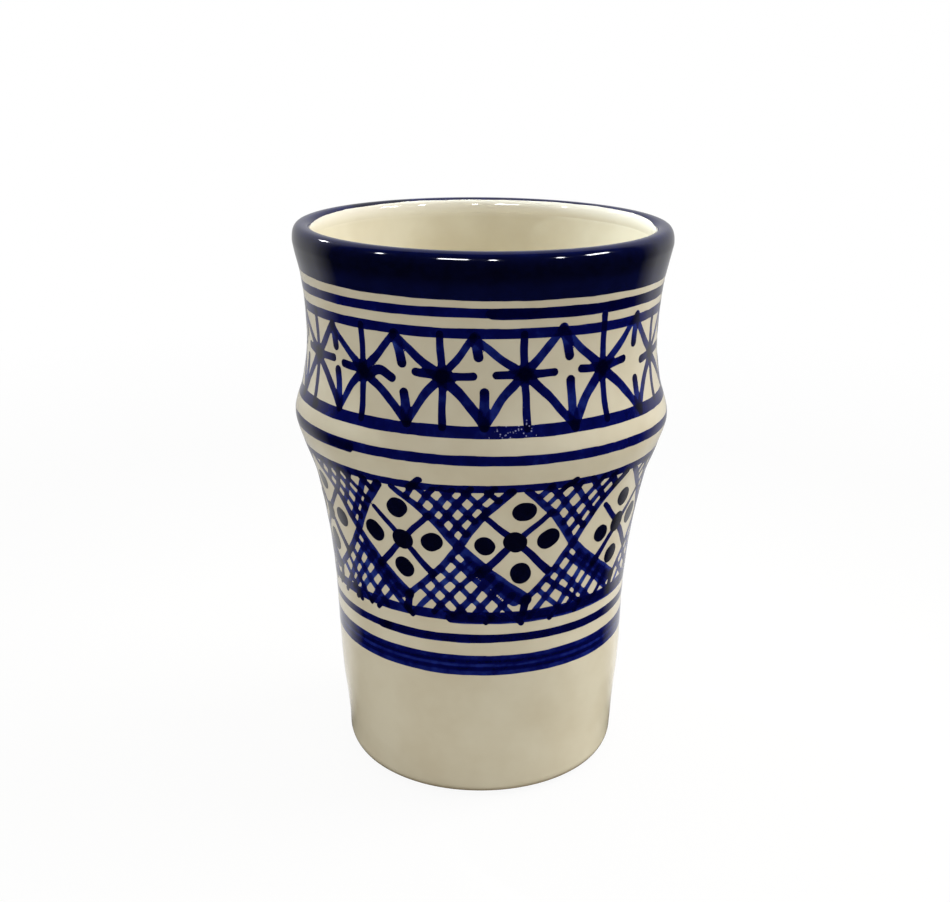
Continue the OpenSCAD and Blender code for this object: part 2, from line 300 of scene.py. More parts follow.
def fired_gloss(tree, at, colours, smooth, rough):
    """The gloss of a fired glaze over its colours, with an orange-peel skin that breaks up its reflections"""
    peel = add(tree, "TexNoise", {"Vector": (at, "Object"), "Scale": per(2.2), "Detail": 2.0})
    gloss = add(tree, "MapRange", {"Value": (peel, "Fac"), "To Min": smooth, "To Max": rough})
    skin = add(tree, "Bump", {"Height": (peel, "Fac"), "Strength": 0.15, "Distance": 0.05 * MM})
    body = add(tree, "BsdfPrincipled", {
        "Base Color": colours, "Roughness": (gloss, "Result"), "IOR": 1.5, "Normal": (skin, "Normal")})
    add(tree, "OutputMaterial", {"Surface": (body, "BSDF")})


def specks(tree, at, size, lot, rule, limit, core, rim, strength):
    """Specks in those cells of a pattern whose lot, a channel of the cell's colour, fits the rule; core and
    rim are shares of a cell between which a speck fades"""
    cell = add(tree, "TexVoronoi", {"Vector": (at, "Object"), "Scale": per(size)})
    lots = add(tree, "SeparateColor", {"Color": (cell, "Color")})
    picked = add(tree, "Math", {0: (lots, lot), 1: limit}, operation=rule)
    speck = add(tree, "MapRange", {
        "Value": (cell, "Distance"), "From Min": core, "From Max": rim, "To Min": strength, "To Max": 0.0})
    return add(tree, "Math", {0: (speck, "Result"), 1: (picked, "Value")}, operation="MULTIPLY")


# The heights in millimetres between which the glaze is painted darker brown towards the foot, partly the clay
# showing through its thin edge and partly painted contact shadow, and painted lighter towards the lip, a
# painted highlight
FOOT_SHADE_HEIGHTS = 0.9, 2.2
LIP_LIGHT_HEIGHTS = RIM_Z - 1, RIM_Z + 1.5


def cream_glaze():
    """Tin-whitened earthenware glaze, dipped and fired glossy: a warm cream, cloudy where it is thinner,
    painted lighter near the lip as a painted highlight for the brighter light there, with a few dark
    pinholes, and darker brown at the foot, partly the clay showing through its thin edge and partly painted
    contact shadow"""
    material, tree = new_material("cream_tin_glaze")
    at = add(tree, "TexCoord", {})
    cloud = add(tree, "TexNoise", {
        "Vector": (at, "Object"), "Scale": per(14), "Detail": 3.0, "Roughness": 0.55})
    cream = add(tree, "ValToRGB", {"Fac": (cloud, "Fac")})
    stops(cream, (0.35, "#ccc2a9"), (0.65, "#d4ccb5"))
    pinhole = specks(tree, at, size=11, lot="Green", rule="GREATER_THAN", limit=0.86,
                     core=0.018, rim=0.04, strength=0.75)
    spot = add(tree, "SeparateXYZ", {"Vector": (at, "Object")})
    # Painted shade: darker towards the foot, partly the clay through the thin glaze and partly painted
    # contact shadow
    edge = add(tree, "MapRange", {
        "Value": (spot, "Z"), "From Min": FOOT_SHADE_HEIGHTS[0] * MM, "From Max": FOOT_SHADE_HEIGHTS[1] * MM, "To Min": 1.0,
        "To Max": 0.0})
    pinholes_and_foot_shade = add(tree, "Math", {0: (pinhole, "Value"), 1: (edge, "Result")}, operation="MAXIMUM")
    # Painted highlight: lighter towards the lip, standing in for the brighter light that falls there
    lip_painted_light = add(tree, "MapRange", {
        "Value": (spot, "Z"), "From Min": LIP_LIGHT_HEIGHTS[0] * MM, "From Max": LIP_LIGHT_HEIGHTS[1] * MM})
    # The paler cream of the painted highlight at the lip
    coat = add(tree, "Mix", {
        "Factor": (lip_painted_light, "Result"), "A": (cream, "Color"), "B": colour("#e2dccd")}, data_type="RGBA")
    # The brown of the painted foot shade, over the pinholes' dark
    face = add(tree, "Mix", {
        "Factor": (pinholes_and_foot_shade, "Value"), "A": (coat, 2), "B": colour("#7d6a4c")}, data_type="RGBA")
    fired_gloss(tree, at, (face, 2), smooth=0.03, rough=0.08)
    return material


# The patch of painted glints over the ridge in front, pale specks that stand in for sparkles of lamp light:
# its middle, and how far it reaches in millimetres
PAINTED_GLINTS_AT, PAINTED_GLINTS_REACH = [6.2 * MM, -39 * MM, 85 * MM], 5


def cobalt_paint(name, *blues):
    """Cobalt oxide brushed on the raw glaze and melted into it: glassy like the glaze, paler where the brush
    ran thin, nearly black where strokes pool or cross, with painted glints, pale specks for sparkles of
    light, in one patch"""
    material, tree = new_material(name)
    at = add(tree, "TexCoord", {})
    ink = add(tree, "Attribute", {}, attribute_name="ink")
    grain = add(tree, "TexNoise", {"Vector": (at, "Object"), "Scale": per(1.4), "Detail": 3.0})
    uneven = add(tree, "MapRange", {"Value": (grain, "Fac"), "To Min": -0.13, "To Max": 0.13})
    load = add(tree, "Math", {0: (ink, "Fac"), 1: (uneven, "Result")}, operation="ADD", use_clamp=True)
    blue = add(tree, "ValToRGB", {"Fac": (load, "Value")})
    stops(blue, *blues)
    off = add(tree, "VectorMath", {0: (at, "Object"), 1: PAINTED_GLINTS_AT}, operation="DISTANCE")
    rare = add(tree, "MapRange", {
        "Value": (off, "Value"), "From Max": PAINTED_GLINTS_REACH * MM, "To Min": 0.75, "To Max": 0.0})
    # Painted glints: pale specks in one patch over the ridge, standing in for sparkles of lamp light
    painted_glints = specks(tree, at, size=0.5, lot="Red", rule="LESS_THAN", limit=(rare, "Result"),
                     core=0.05, rim=0.4, strength=0.8)
    # The pale lilac of the painted glints
    face = add(tree, "Mix", {
        "Factor": (painted_glints, "Value"), "A": (blue, "Color"), "B": colour("#bfc0ee")}, data_type="RGBA")
    fired_gloss(tree, at, (face, 2), smooth=0.04, rough=0.1)
    return material


def bare_clay():
    """Fired earthenware, left unglazed where the cup stood in the kiln: dull, gritty and buff pink, with the
    rings of the turning tool"""
    material, tree = new_material("bare_earthenware")
    at = add(tree, "TexCoord", {})
    patch = add(tree, "TexNoise", {"Vector": (at, "Object"), "Scale": per(6), "Detail": 4.0})
    buff = add(tree, "ValToRGB", {"Fac": (patch, "Fac")})
    stops(buff, (0.3, "#a5825f"), (0.7, "#bf9d7a"))
    grit = add(tree, "TexNoise", {"Vector": (at, "Object"), "Scale": per(0.5), "Detail": 3.0})
    rough = add(tree, "MapRange", {"Value": (grit, "Fac"), "To Min": 0.75, "To Max": 0.95})
    rings = add(tree, "TexWave", {
        "Vector": (at, "Object"), "Scale": per(9), "Distortion": 1.5, "Detail": 2.0}, wave_type="RINGS",
        rings_direction="Z")
    relief = add(tree, "Math", {0: (rings, "Fac"), 1: 0.5, 2: (grit, "Fac")}, operation="MULTIPLY_ADD")
    skin = add(tree, "Bump", {"Height": (relief, "Value"), "Strength": 0.5, "Distance": 0.15 * MM})
    body = add(tree, "BsdfPrincipled", {
        "Base Color": (buff, "Color"), "IOR": 1.5, "Roughness": (rough, "Result"),
        "Normal": (skin, "Normal")})
    add(tree, "OutputMaterial", {"Surface": (body, "BSDF")})
    return material


finishes = {
    "cream_glaze": cream_glaze(),
    "cobalt": cobalt_paint("cobalt_brushwork", (0.1, "#3a5598"), (0.28, "#1b2a76"), (0.46, "#050a4e"),
                           (0.66, "#010334"), (0.9, "#010119")),
    "deep_cobalt": cobalt_paint("deep_cobalt_wash", (0.4, "#0a1246"), (0.68, "#060a30"), (0.92, "#030418")),
    "clay": bare_clay()}


# The clay and the glaze, turned on the wheel
def clay_body():
    """The packed clay with the thrower's unevenness, which shows only under the foot"""
    piece = bpy.data.objects.new("bare_clay_body", frame["nodes"]["clay_body"].data.copy())
    bpy.context.scene.collection.objects.link(piece)
    pick(piece)
    bpy.ops.object.mode_set(mode="EDIT")
    bpy.ops.mesh.select_all(action="SELECT")
    bpy.ops.mesh.remove_doubles(threshold=MERGE * MM)
    bpy.ops.object.mode_set(mode="OBJECT")
    throw(piece)
    finish(piece, "clay_body", "clay", CLAY_SHARP)


def turned(name, line, shown):
    """A closed line of (radius, height), spun round the cup's axis; shown is its visible share of the map"""
    bpy.ops.object.select_all(action="DESELECT")
    bpy.ops.mesh.primitive_circle_add(vertices=len(line))
    piece = bpy.context.object
    piece.name = name
    for vertex, (r, z) in zip(piece.data.vertices, line):
        vertex.co = (0, -r * MM, z * MM)
    attribute(piece, "along", shown)
    bpy.ops.object.mode_set(mode="EDIT")
    bpy.ops.mesh.select_all(action="SELECT")
    bpy.ops.mesh.spin(steps=GLAZE_SIDES, angle=2 * math.pi, center=(0, 0, 0), axis=(0, 0, 1))
    bpy.ops.mesh.select_all(action="SELECT")
    bpy.ops.mesh.remove_doubles(threshold=MERGE * MM)
    bpy.ops.mesh.dissolve_degenerate(threshold=SLIVER * MM)
    bpy.ops.mesh.delete_loose()
    bpy.ops.mesh.select_all(action="SELECT")
    bpy.ops.mesh.normals_make_consistent(inside=False)
    bpy.ops.object.mode_set(mode="OBJECT")
    throw(piece)
    return piece


def heights(low, high, step):
    return np.linspace(low, high, max(int(round((high - low) / step)), 1) + 1)


def line_with_back(front, back):
    """A closed line from a face's line and the line behind it, with each place's share of the map"""
    face_end, back_start = 0.94, 0.96
    run = distances(front)
    shares = np.concatenate([face_end * run / run[-1], np.linspace(back_start, 1, len(back))])
    return np.concatenate([front, back[::-1]]), shares


# How much closer the glaze's rows lie towards its edge at the foot, and how far in that edge rolls
FOOT_ROWS_CLOSER, EDGE_ROLL = 1.6, 0.95


def outer_glaze():
    """The coat on the outside, from its rolled edge under the foot to the inside of the lip"""
    stop = math.acos((FOOT_ROUND_R - BARE_FOOT_H) / (FOOT_ROUND_R + GLAZE_T))
    turns = stop + (math.pi / 2 - stop) * np.linspace(0, 1, FOOT_ROWS, endpoint=False) ** FOOT_ROWS_CLOSER
    roll = np.clip(1 - (turns - stop) * FOOT_ROUND_R / GLAZE_T, 0, 1)
    z = heights(FOOT_ROUND_R, RIM_Z, WALL_ROW)
    front = np.concatenate([foot_line(EDGE_ROLL * GLAZE_T * (1 - np.sqrt(1 - roll ** 2)), turns),
                            np.stack([wall_r(z), z], 1), lip_line(180, 0, LIP_ROWS)])
    z = heights(FOOT_ROUND_R, RIM_Z, HIDDEN_ROW)
    back = np.concatenate([foot_line(GLAZE_T, turns[::3]), np.stack([wall_r(z) - GLAZE_T, z], 1),
                           lip_line(180, GLAZE_T, LIP_ROWS // 3)])
    piece = turned("cream_glaze_outside", *line_with_back(front, back))
    finish(piece, "outer_glaze", "cream_glaze", GLAZE_SHARP, strips=1)


def inside_line(depth, row):
    """The inside's line from the lip down to the middle of the floor, at a depth under its face"""
    turn_z = FLOOR_Z + FLOOR_ROUND_R
    turn_r = inner_r(turn_z) - FLOOR_ROUND_R
    z = heights(turn_z, RIM_Z, row)[::-1]
    a = np.radians(np.linspace(0, 90, FLOOR_ROWS + 1)[1:])
    r = FLOOR_ROUND_R + depth
    floor = np.linspace(turn_r, 0, int(turn_r / row) + 1)[1:]
    return np.concatenate([
        np.stack([inner_r(z) + depth, z], 1),
        np.stack([turn_r + r * np.cos(a), turn_z - r * np.sin(a)], 1),
        np.stack([floor, np.full(len(floor), FLOOR_Z - depth)], 1)])


def inner_glaze():
    front, back = inside_line(0, WALL_ROW), inside_line(GLAZE_T, HIDDEN_ROW)
    piece = turned("cream_glaze_inside", *line_with_back(front, back))
    finish(piece, "inner_glaze", "cream_glaze", GLAZE_SHARP, strips=1)


# The painting
def sway(along, wave):
    """A slow unsteadiness along a stroke, about 1 at most: a long wave and a short one"""
    a, b = hand.uniform(0, 2 * math.pi, 2)
    short = 0.37 * wave
    return 0.6 * np.sin(2 * np.pi * along / wave + a) + 0.4 * np.sin(2 * np.pi * along / short + b)


class Film:
    """A sheet of paint on the cup: how far inside a stroke each spot of a fine grid is, and how bare it is"""

    def __init__(self, low, high, pitch, place=wall_at):
        self.low, self.high, self.place = low, high, place
        girth = 2 * math.pi * float(place(np.array([(low + high) / 2]))[0].mean())
        self.per_degree = girth / 360
        self.columns = round(girth / pitch)
        self.turns = np.arange(self.columns) * 360 / self.columns - 180
        self.heights = heights(low, high, pitch)
        self.inside = np.full((len(self.heights), self.columns), -1.0)
        self.bare = np.ones_like(self.inside)

    def under(self, low, high, ink):
        """A ring that was painted before, so that strokes over it come out darker"""
        rows = (self.heights > low) & (self.heights < high)
        self.bare[rows] *= 1 - ink

    def brush(self, points, width, ink, start=0.12, end=0.18, bend=0.1, step=STROKE_STEP,
              soft=SOFT_EDGE):
        """A stroke through places given as (turn, height). Its width and ink are one value each, or one at
        its start and one at its end; start and end say how much more ink pools there, and soft how far from
        its edge it still darkens other strokes"""
        points = np.array(points, float) * (self.per_degree, 1)
        chord = distances(points)
        along = np.linspace(0, chord[-1], max(int(chord[-1] / step), 2) + 1)
        line = hermite(chord, points, np.gradient(points, chord, axis=0), along)
        side = np.gradient(line, along, axis=0)[:, ::-1] * (-1, 1)
        line = line + side * (bend * sway(along, BEND_WAVE))[:, None]
        half, blue = (np.linspace(*np.broadcast_to(np.array(v, float), 2), len(along)) for v in (width, ink))
        half = half / 2 + np.minimum(WIDTH_SWAY * half, MOST_WIDTH_SWAY) * sway(along, WIDTH_WAVE)
        blue = (blue + start * np.exp(-along / POOL_REACH) + end * np.exp((along - chord[-1]) / POOL_REACH)
                + INK_SWAY * sway(along, INK_WAVE))
        reach = half.max() + soft
        low, high = line.min(0) - reach, line.max(0) + reach
        girth = self.per_degree * 360
        leg = np.diff(line, axis=0)
        rows = np.flatnonzero((self.heights > low[1]) & (self.heights < high[1]))
        for x in (self.turns * self.per_degree + shift * girth for shift in (-1, 0, 1)):
            columns = np.flatnonzero((x > low[0]) & (x < high[0]))
            if not len(columns) or not len(rows):
                continue
            spots = np.stack(np.meshgrid(x[columns], self.heights[rows]), -1).reshape(-1, 1, 2)
            share = np.clip(((spots - line[:-1]) * leg).sum(-1) / (leg * leg).sum(-1), 0, 1)
            away = spots - line[:-1] - share[..., None] * leg
            within = half[:-1] + share * np.diff(half) - np.hypot(away[..., 0], away[..., 1])
            best = within.argmax(1)
            nearest = np.arange(len(best)), best
            wet = blue[:-1][best] + share[nearest] * np.diff(blue)[best]
            within = within[nearest]
            shade = np.clip(wet * rounded(within / soft + 1), 0, MOST_INK)
            patch = np.ix_(rows, columns)
            shape = len(rows), len(columns)
            self.inside[patch] = np.maximum(self.inside[patch], within.reshape(shape))
            self.bare[patch] *= 1 - shade.reshape(shape)

    def ring(self, middle, width, ink, start_turn, length=RING_TURN, sink=0.12, lean=np.zeros_like,
             soft=SOFT_EDGE):
        """A ring or part of one, painted as the cup turned on the wheel: sink is how far it rises and falls,
        and lean says how far it runs off level"""
        turns = np.arange(start_turn, start_turn + length + 1, RING_POINT)
        middles = middle + sink * sway(turns, RING_WAVE) + lean(np.radians(turns))
        self.brush(np.stack([turns, middles], 1), width, ink, start=0.1, end=0.12, bend=0.03,
                   step=RING_STEP, soft=soft)

    def dry(self, node, slot, lift):
        """Trims the sheet along the strokes' edges and lays it on the glaze as a thin closed film"""
        depth = np.where(np.abs(self.inside) < SNAP, SNAP, self.inside).ravel()
        grid = np.arange(depth.size).reshape(self.inside.shape)
        right = np.roll(grid, -1, axis=1)
        cells = np.stack([grid[:-1], right[:-1], right[1:], grid[1:]], -1).reshape(-1, 4)
        wet = depth[cells] > 0
        faces = cells[wet.all(1)].tolist()
        turn = np.tile(self.turns, len(self.heights)).tolist()
        height = np.repeat(self.heights, self.columns).tolist()
        ink = (1 - self.bare).ravel().tolist()
        deep = depth.tolist()
        cuts = {}
        for cell in cells[wet.any(1) & ~wet.all(1)].tolist():
            edge = []
            for a, b in zip(cell, cell[1:] + cell[:1]):
                if deep[a] > 0:
                    edge.append(a)
                if (deep[a] > 0) != (deep[b] > 0):
                    key = min(a, b), max(a, b)
                    if key not in cuts:
                        share = deep[a] / (deep[a] - deep[b])
                        apart = (turn[b] - turn[a] + 180) % 360 - 180
                        cuts[key] = len(turn)
                        turn.append(turn[a] + share * apart)
                        height.append(height[a] + share * (height[b] - height[a]))
                        ink.append(ink[a] if deep[a] > 0 else ink[b])
                        deep.append(0.0)
                    edge.append(cuts[key])
            faces.append(edge)
        used = np.unique(np.concatenate([np.array(f) for f in faces]))
        number = np.zeros(len(turn), int)
        number[used] = np.arange(len(used))
        turn, height, ink, deep = (np.array(v)[used] for v in (turn, height, ink, deep))
        r, z, out, up = self.place(height)
        ink = ink * (EDGE_INK + (1 - EDGE_INK) * np.clip(deep / THIN_EDGE, 0, 1))
        r = r + throwing(turn, z) + out * lift
        a = np.radians(turn)
        spots = np.stack([r * np.sin(a), -r * np.cos(a), z + up * lift - rim_drop(turn, z)], 1) * MM
        name = "blue_" + node
        mesh = bpy.data.meshes.new(name)
        mesh.from_pydata(spots.tolist(), [], [[int(number[k]) for k in f] for f in faces])
        piece = bpy.data.objects.new(name, mesh)
        bpy.context.scene.collection.objects.link(piece)
        attribute(piece, "ink", ink)
        attribute(piece, "along", (height - self.low) / (self.high - self.low))
        pick(piece)
        wall = piece.modifiers.new("film", "SOLIDIFY")
        wall.thickness, wall.offset = FILM_T * MM, -1
        bpy.ops.object.modifier_apply(modifier=wall.name)
        finish(piece, node, slot, PAINT_SHARP, strips=4)


def band(node):
    """A ring node's lowest and highest place in millimetres"""
    low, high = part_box(node)
    return low.z / MM, high.z / MM


# The plain rings, each with its passes of the brush: how far a pass lies above the ring's middle in
# millimetres, its share of the ring's width, its ink, and its first turn and its length in degrees
RING_PASSES = {
    "star_top_line": [(0, 1, 0.5, 120, RING_TURN)],
    "star_bottom_line": [(0, 1, 0.5, -60, 362)],
    "ridge_stripe": [(0, 1, 0.5, -76, 400)],
    "lattice_top_line": [(0, 1, 0.5, 100, RING_TURN)],
    # A thin first pass, and a second one that starts in front and runs on to the right
    "collar_stripe": [(0.1, 0.86, 0.52, 140, RING_TURN), (-0.1, 1, 0.4, 3, 190)],
    # A first pass, and a lower second one over the front
    "lattice_bottom_line": [(0.35, 0.7, 0.45, 130, RING_TURN), (-0.35, 0.7, 0.35, -10, 120)],
    # A thin pass whose end runs into a second one beside it
    "lower_stripe": [(0.15, 0.8, 0.5, -36, 365), (-0.25, 0.7, 0.25, -39, 150)]}
# The ring whose end runs past its start: how far it sags there, after how many degrees and over how many
SAGGING_RING, SAG, SAG_AFTER, SAG_OVER = "ridge_stripe", 0.55, 345, 20
# The broad ring's passes: how many lanes above its middle, share of a lane's width, ink and first turn
BROAD_PASSES = (1, 1.15, 0.45, 100), (0, 1.28, 0.34, 170), (-1, 1.18, 0.41, -145)
LANE_STEP, BROAD_SINK = 0.92, 0.08
# Bare room above and below a ring on its sheet of paint
RING_ROOM = 1.2


def ring_film(node):
    low, high = band(node)
    return Film(low - RING_ROOM, high + RING_ROOM, RING_PITCH), (low + high) / 2, high - low


def rings():
    for node, passes in RING_PASSES.items():
        film, middle, width = ring_film(node)
        sag = SAG if node == SAGGING_RING else 0
        for above, share, ink, start, length in passes:
            film.ring(middle + above, width * share, ink, start, length,
                      lean=lambda a: -sag * rounded((np.degrees(a) - start - SAG_AFTER) / SAG_OVER))
        film.dry(node, "cobalt", RING_LIFT)


def broad_stripe():
    """Three passes side by side, with paler and darker streaks where they meet"""
    film, middle, width = ring_film("broad_stripe")
    lane = width / len(BROAD_PASSES)
    for above, share, ink, start in BROAD_PASSES:
        film.ring(middle + above * lane * LANE_STEP, lane * share, ink, start, sink=BROAD_SINK)
    film.dry("broad_stripe", "cobalt", RING_LIFT)


# The rim's wash: bare room below it and inside it, the fineness of its line over the lip, how many degrees
# this runs on, how far its passes rise and fall, and how softly they meet
RIM_ROOM_LOW, RIM_ROOM_IN = 1, 0.9
RIM_ROW, RIM_LIP_ROWS, RIM_RUN_ON = 0.25, 60, 8
RIM_SINK, RIM_SOFT = 0.1, 3.5
# Its outer pass and its pass over the lip: middle and width as shares of the wash, ink and first turn
RIM_PASSES = (0.26, 0.52, 0.68, 130), (0.72, 0.56, 0.62, -145)
# How far its lower edge lies up, all round and on the left, and how far its inner edge stops short at the
# back, and there on the right
LOW_EDGE_UP, LOW_EDGE_LEFT = 0.1, 0.9
INNER_EDGE_BACK, INNER_EDGE_RIGHT = 0.75, 1.2


def rim_band():
    """The deep wash over the lip, down the outside and a little way down the inside"""
    z = heights(band("rim_band")[0] - RIM_ROOM_LOW, RIM_Z, RIM_ROW)
    line = np.concatenate([np.stack([wall_r(z), z], 1),
                           lip_line(RIM_BAND_TURN + RIM_RUN_ON, 0, RIM_LIP_ROWS)])
    run = distances(line)
    way = np.gradient(line, run, axis=0)

    def rim_at(along):
        """Radius, height and outward normal of the rim at a place along its line"""
        r, z, dr, dz = (np.interp(along, run, v) for v in (*line.T, *way.T))
        return r, z, dz / np.hypot(dr, dz), -dr / np.hypot(dr, dz)

    def low_edge(a):
        return LOW_EDGE_UP + LOW_EDGE_LEFT * np.clip(-np.sin(a), 0, 1) ** 1.5

    def inner_edge(a):
        short = INNER_EDGE_BACK + INNER_EDGE_RIGHT * np.clip(np.sin(a), 0, 1) ** 3
        return -np.clip(-np.cos(a), 0, 1) * short

    film = Film(0, run[-1], RIM_PITCH, rim_at)
    wide = run[-1] - RIM_ROOM_IN - RIM_ROOM_LOW
    for (middle, share, ink, start), edge in zip(RIM_PASSES, (low_edge, inner_edge)):
        film.ring(RIM_ROOM_LOW + middle * wide, share * wide, ink, start, sink=RIM_SINK, lean=edge,
                  soft=RIM_SOFT)
    film.dry("rim_band", "deep_cobalt", RING_LIFT)


# The stars in front, and where the arms of one and the next meet at the top line and at the bottom line,
# as turns to the right of the front in degrees and heights in millimetres
FRONT_STARS = (-61.5, 94.7), (-37.5, 94.2), (-11.5, 94.8), (12.5, 95.4), (38.5, 95.1), (66, 94.8)
FRONT_TOPS = (-51.5, 102), (-26.5, 102.5), (-2.5, 102.7), (23.5, 104), (53, 104)
FRONT_FEET = (-46.5, 85.8), (-21.5, 85.6), (1, 85.6), (27.5, 84.7), (55, 84.6)
# The rounded ends of the short strokes that hang from the top line and stand on the bottom line
FRONT_HANGING = (-49.9, 97.7), (-23.8, 96.9), (-0.8, 98.8), (26.3, 98.4), (52.9, 98.6)
FRONT_STANDING = (-48.9, 92.9), (-22.9, 91.2), (0.8, 92), (27, 93.6), (53.9, 91.1)
# Round the back: where the arms meet, in degrees from half way between two stars, and the short strokes'
# ends, in degrees from there and as heights
TOP_LEAN, FOOT_LEAN, MEET_STRAY = -1.6, 2.2, 0.8
HANGING_LEAN, HANGING_Z = 1.4, 98.2
STANDING_LEAN, STANDING_Z = -0.6, 92.4
STAR_COUNT, STAR_STRAY, LEVEL_STRAY = 14, 1.2, 0.4
# The frieze's sheet of paint: room below and above its two lines, its grid's pitch, and these lines' ink
STAR_SHEET = 1.2, 2.6, STAR_PITCH, 0.5, 0.5
UPRIGHT_W, SLANT_W, ARM_W, TIP_W = 1.5, 1.5, 1.6, 1.95
UPRIGHT_INK, SLANT_INK, ARM_INK = 0.48, 0.5, 0.5
# How far an upright leans to the left at its top and to the right at its foot, in degrees
UPRIGHT_LEFT, UPRIGHT_RIGHT = 0.5, 0.6
# The slanted arms: how their width changes outwards, and how far they bow and how heavy they are, upwards and
# downwards
SLANT_TAPER = np.array([1.1, 0.85])
UP_BOW, UP_HEAVY = 0.2, 1.08
DOWN_BOW, DOWN_HEAVY = 0.4, 1.22
# The level arms' mean reach in degrees, and how much farther the right ones and less far the left ones go
ARM_REACH, ARM_MORE_RIGHT = 8.9, 0.8
# The star whose right arm is curled, with that arm's places from the star and its heavier brush, and the star
# whose upright rises over the top line
CURLED_STAR, CURL, CURL_HEAVY = 1, ((1.8, -0.7), (6.3, 0.8), (10.4, -0.5)), 1.15
TALL_STAR, TALL_RISE = 4, 3.4
# How far a hanging stroke starts beside the place where arms meet, in degrees, and a standing one's share of
# its width
HANGING_START, STANDING_SHARE = 0.5, 0.97


def round_the_back(front, count, stray):
    """The painter's places in front, and even ones with a little stray round the rest of the cup"""
    back = np.linspace(front[-1][0], front[0][0] + 360, count - len(front) + 2)[1:-1]
    level = np.mean([place[1] for place in front])
    return list(front) + [
        (turn + hand.uniform(-stray, stray), level + hand.uniform(-LEVEL_STRAY, LEVEL_STRAY))
        for turn in back]


def next_round(places, i):
    """The place after this one round the cup"""
    turn, z = places[(i + 1) % len(places)]
    return (turn if turn > places[i][0] else turn + 360), z


def frieze(name, room_low, room_high, pitch, low_ink, high_ink):
    """A frieze's sheet of paint with its two lines under it, and the heights between them"""
    (line_low, low), (high, line_high) = band(name + "_bottom_line"), band(name + "_top_line")
    film = Film(line_low - room_low, line_high + room_high, pitch)
    film.under(line_low, low, low_ink)
    film.under(high, line_high, high_ink)
    return film, low, high


def star_strokes():
    film, low, high = frieze("star", *STAR_SHEET)
    stars = round_the_back(FRONT_STARS, STAR_COUNT, STAR_STRAY)
    for i, star in enumerate(stars):
        ahead = next_round(stars, i)
        middle = (star[0] + ahead[0]) / 2
        if i < len(FRONT_TOPS):
            top, foot = FRONT_TOPS[i], FRONT_FEET[i]
            hanging, standing = FRONT_HANGING[i], FRONT_STANDING[i]
        else:
            top = middle + TOP_LEAN + hand.uniform(-MEET_STRAY, MEET_STRAY), high + hand.uniform(0.2, 1.2)
            foot = middle + FOOT_LEAN + hand.uniform(-MEET_STRAY, MEET_STRAY), low - hand.uniform(0.2, 1.2)
            hanging = top[0] + HANGING_LEAN, HANGING_Z + hand.uniform(-1, 0.7)
            standing = foot[0] + STANDING_LEAN, STANDING_Z + hand.uniform(-1, 1.2)
        rise = TALL_RISE if i == TALL_STAR else hand.uniform(0.6, 1.3)
        film.brush([(star[0] - UPRIGHT_LEFT, high + rise), star,
                    (star[0] + UPRIGHT_RIGHT, low - hand.uniform(0.2, 0.9))], UPRIGHT_W, UPRIGHT_INK)
        for end, bow, heavy in ((top, UP_BOW, UP_HEAVY), (foot, DOWN_BOW, DOWN_HEAVY)):
            for hub in (star, ahead):
                half_way = 0.5 * (hub[0] + end[0]), 0.5 * (hub[1] + end[1])
                out = np.sign(end[0] - hub[0]) * bow / film.per_degree, -np.sign(end[1] - hub[1]) * bow
                width = heavy * SLANT_W * hand.uniform(0.88, 1.12) * SLANT_TAPER
                film.brush([hub, (half_way[0] + out[0], half_way[1] + out[1]), end], width,
                           (SLANT_INK, hand.uniform(0.3, 0.5)), end=0.02)
        for hub, side in ((star, 1), (ahead, -1)):
            curled = hub is stars[CURLED_STAR] and side > 0
            if curled:
                arm = [(hub[0] + turn, hub[1] + up) for turn, up in CURL]
            else:
                reach = ARM_REACH + ARM_MORE_RIGHT * side + hand.uniform(-0.6, 0.6)
                arm = [hub, (hub[0] + side * reach, hub[1] + hand.uniform(-0.3, 0.8))]
            film.brush(arm, ARM_W * (CURL_HEAVY if curled else 1), ARM_INK)
        film.brush([(top[0] + HANGING_START, top[1]), hanging], TIP_W, (0.2, 0.45), start=0, end=0.25)
        film.brush([standing, foot], TIP_W * STANDING_SHARE, (0.36, 0.3), start=0.35, end=0.15)
    film.dry("star_strokes", "cobalt", STROKE_LIFT)


# The diamonds in front, their tops and feet, and where one touches the next
FRONT_DIAMONDS = (-26.3, 59.8), (11.8, 60.6), (54.9, 59.4)
FRONT_DIAMOND_TOPS = (-29.5, 72), (11.5, 72.4), (52.8, 72.4)
FRONT_DIAMOND_FEET = (-25.5, 47.2), (16.4, 47), (57.5, 46.8)
FRONT_TOUCHES = (-6.8, 59.6), (32.6, 58.8)
# Round the back: how far a diamond's top and foot lie beside its middle, in degrees
DIAMOND_TOP_LEAN, DIAMOND_FOOT_LEAN, CORNER_STRAY = -2.4, 2.6, 1.2
DIAMOND_COUNT, DIAMOND_STRAY = 9, 1.5
# Half the gap in degrees between the two sides at a diamond's top
TOP_GAP = 2.4
# How far a diamond's sides bow, in degrees and millimetres
SIDE_BOW_TURN, SIDE_BOW_Z = 0.7, 0.4
# The frieze's sheet of paint, as for the stars
LATTICE_SHEET = 2.2, 2.0, LATTICE_PITCH, 0.4, 0.45
SIDE_W, CROSS_W, HATCH_W, WASH_W = 1.65, 1.3, 1.3, 2.8
# A side's share of its width where it starts
SIDE_START = 0.85
# The hatching between two diamonds: strokes that rise and that fall to the right, and how far they run over
# the frieze's top line and bottom line
RISING_COUNT, FALLING_COUNT = 5, 4
OVER_TOP, OVER_FOOT = 1.1, -3.2
# The wash beside a diamond's lower left side: where it starts and ends along the side, how far it lies to the
# left in degrees and below in millimetres, and its ink
WASH_FROM, WASH_TO, WASH_LEFT, WASH_DOWN, WASH_INK = 0.75, 0.1, 1.4, 1, 0.28
